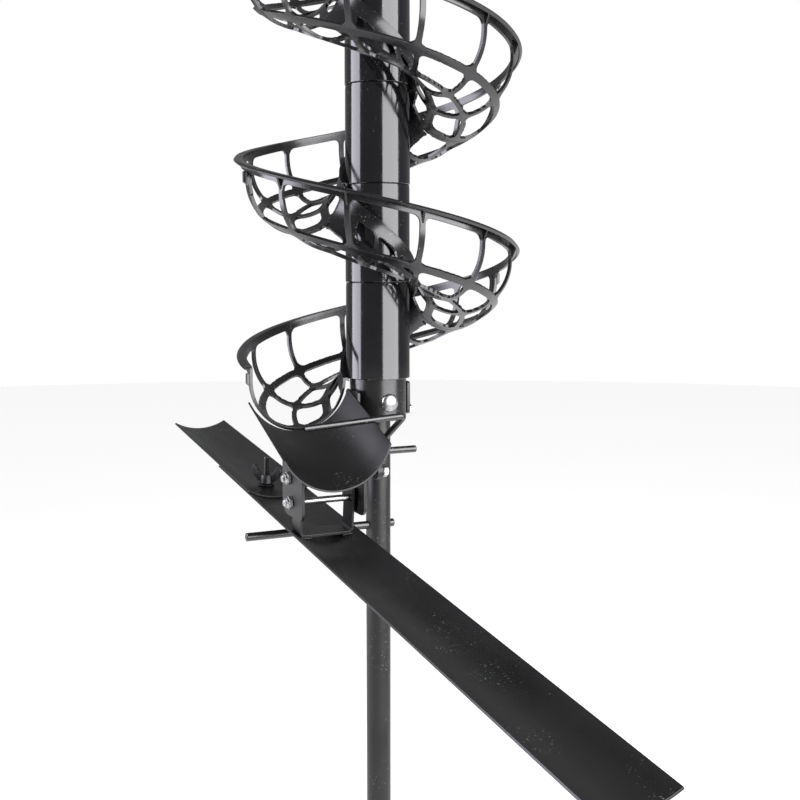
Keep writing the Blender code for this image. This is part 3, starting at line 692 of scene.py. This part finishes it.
def hex_bolts():
    """The hexagon bolts and their nuts, with M6 on the pivot, gate and legs."""
    for name in ("pivot", "gate"):
        hex_bolt(f"{name}_bolt", (-1, 0, 0), M6_FLATS, 4.2 * MM, 2.9 * MM, "mast")
    hex_bolt("side_bolt", (-1, 0, 0), M5_FLATS, 3.2 * MM, 2.5 * MM, "mast", 8 * MM)
    for name in ("pivot", "gate"):
        nut(f"{name}_nut", (-1, 0, 0), M6_FLATS, 5.0 * MM, 3.2 * MM, "mast", True)
    nut("side_nut", (-1, 0, 0), M5_FLATS, 4.0 * MM, 2.8 * MM, "mast")
    for number in (1, 2, 3):
        hex_bolt(f"leg_screw_{number}", (0, 0, -1), M6_FLATS, 5.5 * MM, 3.0 * MM, "stand", 8 * MM)


# ---- trough and ears ------------------------------------------------------------------------
def swept_section(section, near, far):
    """A closed (x, z) strip section carried from one (y, lift) to another."""
    made = bmesh.new()
    ring = [made.verts.new((x, near[0], z + near[1])) for x, z in section]
    count = len(ring)
    ends = []
    for i in range(count // 2 - 1):
        ends.append(made.faces.new((ring[i], ring[i + 1], ring[count - 2 - i], ring[count - 1 - i])))
    grown = bmesh.ops.extrude_face_region(made, geom=ends, use_keep_orig=True)
    moved = [item for item in grown["geom"] if isinstance(item, bmesh.types.BMVert)]
    bmesh.ops.translate(made, verts=moved, vec=(0, far[0] - near[0], far[1] - near[1]))
    return made


def trough():
    """The bent half pipe. It gives back what the ears need to meet its underside."""
    low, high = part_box("drop_trough")
    wall = 1.6 * MM
    radius = 49.5 * MM
    slope = math.tan(math.radians(22.0))
    first, last = 206.0, 344.0
    outer = radius + wall / 2
    axis_x = low.x + outer * math.cos(math.radians(first - 180.0))
    back, front = high.y, low.y
    bottom = low.z + outer
    inside = arc((axis_x, 0), radius - wall / 2, first, last, 56)
    outside = arc((axis_x, 0), outer, last, first, 56)
    near = (front, bottom)
    far = (back, bottom + (back - front) * slope)
    work = swept_section(inside + outside, near, far)
    piece("drop_trough_sheet", work, "paint", "mast", ("drop_trough",), bevel=0.35 * MM, sharp=40.0)
    return axis_x, outer, near, slope


def ears(axis_x, outer, near, slope):
    """The two plates under the trough, cut to its curve."""
    for node in ("ear_left", "ear_right"):
        low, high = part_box(node)
        inner = min((low.x, high.x), key=lambda x: abs(x - axis_x))

        def under(y, inner=inner):
            lift = near[1] + (y - near[0]) * slope
            return lift - math.sqrt(outer ** 2 - (inner - axis_x) ** 2) - GAP

        back, front, round_r = high.y, low.y, 7.0 * MM
        foot = low.z
        lower = arc((back - 12.0 * MM, foot + 12.0 * MM), 12.0 * MM, 0.0, -90.0, 10)
        lower += arc((front + round_r, foot + round_r), round_r, -90.0, -180.0, 8)
        outline = [(back, under(back)), *lower, (front, under(front))]
        made = bmesh.new()
        plate_from(made, outline, low.x, high.x)
        piece(f"{node}_plate", made, "paint", "mast", (node,), bevel=0.4 * MM, sharp=25.0)


def weld_bead(name, first, last, radius, body):
    """A rippled fillet of weld metal between two points."""
    first, last = Vector(first), Vector(last)
    count = max(3, int((last - first).length / (1.5 * MM)))
    made = bmesh.new()
    for step in range(count + 1):
        centre = first.lerp(last, step / count)
        blob = bmesh.new()
        bmesh.ops.create_uvsphere(blob, u_segments=10, v_segments=6, radius=radius)
        wobble = 0.9 + 0.25 * noise.noise(centre * 700.0)
        bmesh.ops.scale(blob, verts=blob.verts, vec=(wobble, wobble, wobble * 0.85))
        bmesh.ops.translate(blob, verts=blob.verts, vec=centre)
        made = merged(made, blob)
    return piece(name, made, "paint", body, sharp=60.0)


# ---- rods -----------------------------------------------------------------------------------
def round_rod(name, node, look, body, chamfer=0.6 * MM):
    """A straight rod along X with broken ends, in the place of its CAD node."""
    low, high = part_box(node)
    r = (high.z - low.z) / 2
    middle = (low + high) / 2
    length = high.x - low.x
    profile = [(0.0, length), (r - chamfer, length), (r, length - chamfer)]
    profile += [(r, chamfer), (r - chamfer, 0.0), (0.0, 0.0)]
    work = spun(profile, (low.x, middle.y, middle.z), (1, 0, 0), 40)
    piece(name, work, look, body, (node,), sharp=30.0)


def swept_rod(name, points, radius, look, body, nodes):
    """A round rod along a path, with its ends capped flat and their edges bevelled."""
    path = bpy.data.curves.new(name, "CURVE")
    path.dimensions = "3D"
    path.bevel_depth = radius
    path.bevel_resolution = 6
    path.use_fill_caps = True
    line = path.splines.new("POLY")
    line.points.add(len(points) - 1)
    for place, point in zip(line.points, points):
        place.co = (*point, 1.0)
    holder = bpy.data.objects.new(name + "_path", path)
    bpy.context.scene.collection.objects.link(holder)
    bpy.context.view_layer.update()
    mesh = bpy.data.meshes.new_from_object(holder.evaluated_get(bpy.context.evaluated_depsgraph_get()))
    bpy.data.objects.remove(holder, do_unlink=True)
    work = bmesh.new()
    work.from_mesh(mesh)
    bpy.data.meshes.remove(mesh)
    piece(name, work, look, body, nodes, bevel=0.4 * MM, sharp=40.0)


def rounded_path(points, radius, steps=10):
    """A path through points with its corners rounded."""
    made = [Vector(points[0])]
    for before, corner, after in zip(points, points[1:], points[2:]):
        before, corner, after = Vector(before), Vector(corner), Vector(after)
        into = (corner - before).normalized()
        out = (after - corner).normalized()
        for step in range(steps + 1):
            t = step / steps
            start, end = corner - into * radius, corner + out * radius
            made.append((1 - t) ** 2 * start + 2 * t * (1 - t) * corner + t * t * end)
    made.append(Vector(points[-1]))
    return made


def gate():
    """The bent wire, the stub rod and the lever that carries the wire."""
    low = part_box("gate_rod")[0]
    r = 2.8 * MM
    bar_y = GATE.y - 21.0 * MM
    tip_z = GATE.z + 43.7 * MM
    arm_x = -4.0 * MM
    lever_low, lever_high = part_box("gate_lever")
    foot_x = lever_high.x - 1.0 * MM + GAP + r
    foot_z = GATE.z + 26.4 * MM
    corners = [(low.x, bar_y, tip_z), (arm_x, bar_y, tip_z + 6.1 * MM), (foot_x, GATE.y, foot_z)]
    swept_rod("gate_rod_bent", rounded_path(corners, 6.0 * MM), r, "rod", "gate", ("gate_rod",))
    round_rod("gate_stub_rod", "gate_stub", "rod", "gate")
    boss = chamfered(7.5 * MM, 3.2 * MM, 0.0, 6.0 * MM, 0.4 * MM)
    made = spun(boss, (lever_low.x, GATE.y, GATE.z), (1, 0, 0), 48)
    top, half, foot = GATE.z + 24.0 * MM, 6 * MM, GATE.z + 4.5 * MM
    outline = [(GATE.y + half, foot), *arc((GATE.y, top - half), half, 0, 180, 16), (GATE.y - half, foot)]
    arm = bmesh.new()
    plate_from(arm, outline, lever_low.x + 1 * MM, lever_high.x - 1 * MM)
    made = merged(made, arm)
    piece("gate_lever_arm", made, "paint", "gate", ("gate_lever",), bevel=0.3 * MM, sharp=30.0)


# ---- rail -----------------------------------------------------------------------------------
RAIL_CHORD, RAIL_SAG, RAIL_T, RAIL_DEPTH = 57.0 * MM, 8.0 * MM, 2.0 * MM, 33.2 * MM
RAIL_FAR, RAIL_NEAR = 216.0 * MM, 442.0 * MM
COUNTER_NEAR, COUNTER_LEN, STUD_AT = 116.0 * MM, 280.0 * MM, 152.0 * MM
RAIL_R = ((RAIL_CHORD / 2) ** 2 + RAIL_SAG ** 2) / (2 * RAIL_SAG)
WING_TURN = Matrix.Rotation(math.radians(46), 4, "Z")
WING_OUTLINE = (
    (4.5, 1.0), (8.5, 2.2), (12.6, 6.4), (14.6, 11.0), (15.0, 14.4),
    (14.0, 17.0), (12.0, 17.5), (10.2, 16.0), (8.0, 11.0), (4.5, 7.8),
)


def rail_section(lift, steps=28):
    """The shallow curved strip that the rail and the counter trough share."""
    half = math.degrees(math.asin(RAIL_CHORD / 2 / RAIL_R))
    centre = (0.0, lift + RAIL_R)
    upper = arc(centre, RAIL_R, 270 - half, 270 + half, steps)
    return upper + arc(centre, RAIL_R + RAIL_T, 270 + half, 270 - half, steps)


def rail_piece(name, work, look, body, nodes, bevel, sharp=40.0):
    """A piece drawn level about the pivot, then put on the sloping rail."""
    work.transform(RAIL_FRAME)
    return piece(name, work, look, body, nodes, bevel=bevel, sharp=sharp)


def rails():
    """The rail and the counter trough, which share a section, and what is fixed to them."""
    work = swept_section(rail_section(-RAIL_DEPTH), (-RAIL_NEAR, 0.0), (RAIL_FAR, 0.0))
    rail_piece("drop_rail_sheet", work, "paint", "rail", ("drop_rail",), 0.5 * MM)
    lift = -RAIL_DEPTH + RAIL_T + GAP
    far = (COUNTER_NEAR + COUNTER_LEN, 0.0)
    work = swept_section(rail_section(lift), (COUNTER_NEAR, 0.0), far)
    rail_piece("counter_trough_sheet", work, "paint", "counter_trough", ("counter_trough",), 0.5 * MM)
    clevis()
    stud_and_wing(lift)


def clevis():
    """The bent bracket on the rail, its two washers and its welds."""
    half, bend, wall = 24.3 * MM, 5.0 * MM, 2.4 * MM
    rest = RAIL_R - math.sqrt(RAIL_R ** 2 - (half - bend) ** 2) + 0.6 * MM
    floor = -RAIL_DEPTH + rest
    top = 10.0 * MM

    def u_line(inset):
        r = bend - inset
        left = arc((-half + bend, floor + bend), r, 180, 270, 10)
        right = arc((half - bend, floor + bend), r, 270, 360, 10)
        return [(-half + inset, top), *left, *right, (half - inset, top)]

    section = u_line(0.0) + list(reversed(u_line(wall)))
    work = swept_section(section, (-10.0 * MM, 0.0), (10.0 * MM, 0.0))
    rail_piece("clevis_bent", work, "paint", "rail", ("clevis",), 0.4 * MM)
    for side, name in ((-1, "pivot_washer_left"), (1, "pivot_washer_right")):
        start = side * (half + GAP)
        outline = chamfered(6.0 * MM, 3.2 * MM, 0.0, 1.0 * MM, 0.2 * MM)
        made = spun(outline, (start, 0, 0), (side, 0, 0), 48)
        rail_piece(f"{name}_ring", made, "nylon", "rail", (name,), 0.0)
    edge = half - bend
    for y, name in ((-10.6 * MM, "front"), (10.6 * MM, "back")):
        for side in (-1, 1):
            first = RAIL_FRAME @ Vector((side * (edge + 3.5 * MM), y, floor + 0.4 * MM))
            last = RAIL_FRAME @ Vector((side * (edge - 4.5 * MM), y, floor - 0.2 * MM))
            hand = "left" if side < 0 else "right"
            weld_bead(f"clevis_weld_{name}_{hand}", first, last, 1.5 * MM, "rail")


def stud_and_wing(lift):
    """The stud through the rail's slot, its washer and the wing nut."""
    below = -RAIL_DEPTH - RAIL_T - GAP
    ridges = reversed(threaded(3.0 * MM, 8.0 * MM, 25.6 * MM))
    profile = [(0.0, 34.0 * MM), *ridges, (3.0 * MM, 0.0), (8.0 * MM, 0.0)]
    profile += [(7.8 * MM, -0.8 * MM), (7.0 * MM, -2.0 * MM), (5.0 * MM, -3.0 * MM)]
    profile += [(2.6 * MM, -3.5 * MM), (0.0, -3.6 * MM)]
    work = spun(profile, (0, STUD_AT, below), steps=40)
    rail_piece("counter_stud_screw", work, "paint", "counter_trough", ("counter_stud",), 0.0, 30.0)
    seat = lift + 1.2 * MM
    work = spun(chamfered(7.5 * MM, 3.3 * MM, 0.0, 1.2 * MM, 0.2 * MM), (0, STUD_AT, seat), steps=48)
    rail_piece("counter_washer_ring", work, "paint", "counter_trough", ("counter_washer",), 0.0)
    seat += 1.2 * MM + GAP
    profile = [(5.2 * MM, 8.5 * MM), (5.6 * MM, 6.0 * MM), (6.5 * MM, 0.6 * MM), (6.1 * MM, 0.0)]
    profile += [(3.3 * MM, 0.0), (3.3 * MM, 8.2 * MM), (3.8 * MM, 8.5 * MM)]
    work = spun(profile, (0, STUD_AT, seat), steps=48)
    for side in (-1, 1):
        outline = [(side * y * MM, z * MM) for y, z in WING_OUTLINE]
        wing = bmesh.new()
        plate_from(wing, outline if side > 0 else list(reversed(outline)), -1.6 * MM, 1.6 * MM)
        bmesh.ops.recalc_face_normals(wing, faces=wing.faces)
        wing.transform(Matrix.Translation((0, STUD_AT, seat)) @ WING_TURN)
        work = merged(work, wing)
    rail_piece("wing_nut_cast", work, "nylon", "wing_nut", ("wing_nut",), 0.6 * MM, 30.0)


# ---- stand ----------------------------------------------------------------------------------
def stand():
    """The castings, knob, legs and feet keep their CAD shape and get their finish."""
    looks = {"base_hub": "cast", "height_clamp": "cast", "clamp_knob": "nylon", "pole_plug": "cast"}
    for number in (1, 2, 3):
        looks[f"leg_{number}"] = "paint"
        looks[f"foot_{number}"] = "rubber"
    for node, look in looks.items():
        slots = frame["nodes"][node].data.materials
        slots.clear()
        slots.append(LOOKS[look][0])


# ---- studio ---------------------------------------------------------------------------------
FLOOR_R = 14.0
ROOM_IN_GLOSS = 0.30
LIGHT_Z = 2.05
SENSOR_W = 36.0
LENS = 50.805
CAMERA_YAW = math.radians(25.0)
CAMERA_PITCH = 0.1145
CAMERA_PLACE = Vector((-0.4101, -0.9265, RACK_LOW + 0.0958))


def studio():
    """A pale round floor and a white room, which polished faces see as dimmer."""
    floor = bmesh.new()
    bmesh.ops.create_circle(floor, cap_ends=True, segments=96, radius=FLOOR_R)
    mesh = bpy.data.meshes.new("studio_floor")
    floor.to_mesh(mesh)
    floor.free()
    ground = bpy.data.objects.new("studio_floor", mesh)
    bpy.context.scene.collection.objects.link(ground)
    pale = bpy.data.materials.new("pale_floor")
    pale.use_nodes = True
    shader = pale.node_tree.nodes["Principled BSDF"]
    shader.inputs["Base Color"].default_value = (0.975, 0.975, 0.975, 1.0)
    shader.inputs["Roughness"].default_value = 0.9
    mesh.materials.append(pale)
    world = bpy.data.worlds.new("studio")
    world.use_nodes = True
    nodes, links = world.node_tree.nodes, world.node_tree.links
    nodes.clear()
    seen = nodes.new("ShaderNodeBackground")
    seen.inputs["Color"].default_value = (1.0, 1.0, 1.0, 1.0)
    seen.inputs["Strength"].default_value = 1.0
    room = nodes.new("ShaderNodeBackground")
    room.inputs["Color"].default_value = (0.97, 0.98, 1.0, 1.0)
    room.inputs["Strength"].default_value = ROOM_IN_GLOSS
    rays = nodes.new("ShaderNodeLightPath")
    mix = nodes.new("ShaderNodeMixShader")
    out = nodes.new("ShaderNodeOutputWorld")
    links.new(rays.outputs["Is Glossy Ray"], mix.inputs["Fac"])
    links.new(seen.outputs["Background"], mix.inputs[1])
    links.new(room.outputs["Background"], mix.inputs[2])
    links.new(mix.outputs["Shader"], out.inputs["Surface"])
    bpy.context.scene.world = world
    bpy.context.scene.view_settings.view_transform = "Standard"


def soft_light(name, azimuth, distance, height, size, radiance, colour=(1.0, 1.0, 1.0)):
    """A rectangular soft light that looks at the rack. Azimuth 0 is in front, at -Y."""
    lamp = bpy.data.lights.new(name, "AREA")
    lamp.shape = "RECTANGLE"
    lamp.size, lamp.size_y = size
    lamp.energy = radiance * math.pi * size[0] * size[1]
    lamp.color = colour
    holder = bpy.data.objects.new(name, lamp)
    turn = math.radians(azimuth)
    place = Vector((math.sin(turn) * distance, -math.cos(turn) * distance, height))
    towards = Vector((0, 0, height)) - place
    holder.matrix_world = Matrix.Translation(place) @ towards.to_track_quat("-Z", "Y").to_matrix().to_4x4()
    bpy.context.scene.collection.objects.link(holder)


def lights():
    """Two soft boxes: the smaller on the left and the larger on the right."""
    soft_light("left_softbox", -108.0, 1.7, LIGHT_Z, (1.25, 2.1), 9.5, (0.92, 0.89, 1.0))
    soft_light("right_softbox", 24.0, 1.9, LIGHT_Z, (2.2, 2.1), 10.5, (0.97, 0.97, 1.0))


def camera():
    """The camera stands in front and to the left, a little above the trough, looking slightly down."""
    flat = math.cos(CAMERA_PITCH)
    look = Vector((math.sin(CAMERA_YAW) * flat, math.cos(CAMERA_YAW) * flat, -math.sin(CAMERA_PITCH)))
    data = bpy.data.cameras.new("camera")
    data.lens = LENS
    data.sensor_width = SENSOR_W
    data.clip_start = 0.05
    holder = bpy.data.objects.new("camera", data)
    facing = look.to_track_quat("-Z", "Y").to_matrix().to_4x4()
    holder.matrix_world = Matrix.Translation(CAMERA_PLACE) @ facing
    bpy.context.scene.collection.objects.link(holder)
    bpy.context.scene.camera = holder


camera()
studio()
lights()
track_modules()
tubes()
rack_cap()
collar_fasteners()
hex_bolts()
ears(*trough())
round_rod("stop_rod_bar", "stop_rod", "rod", "mast")
gate()
rails()
stand()
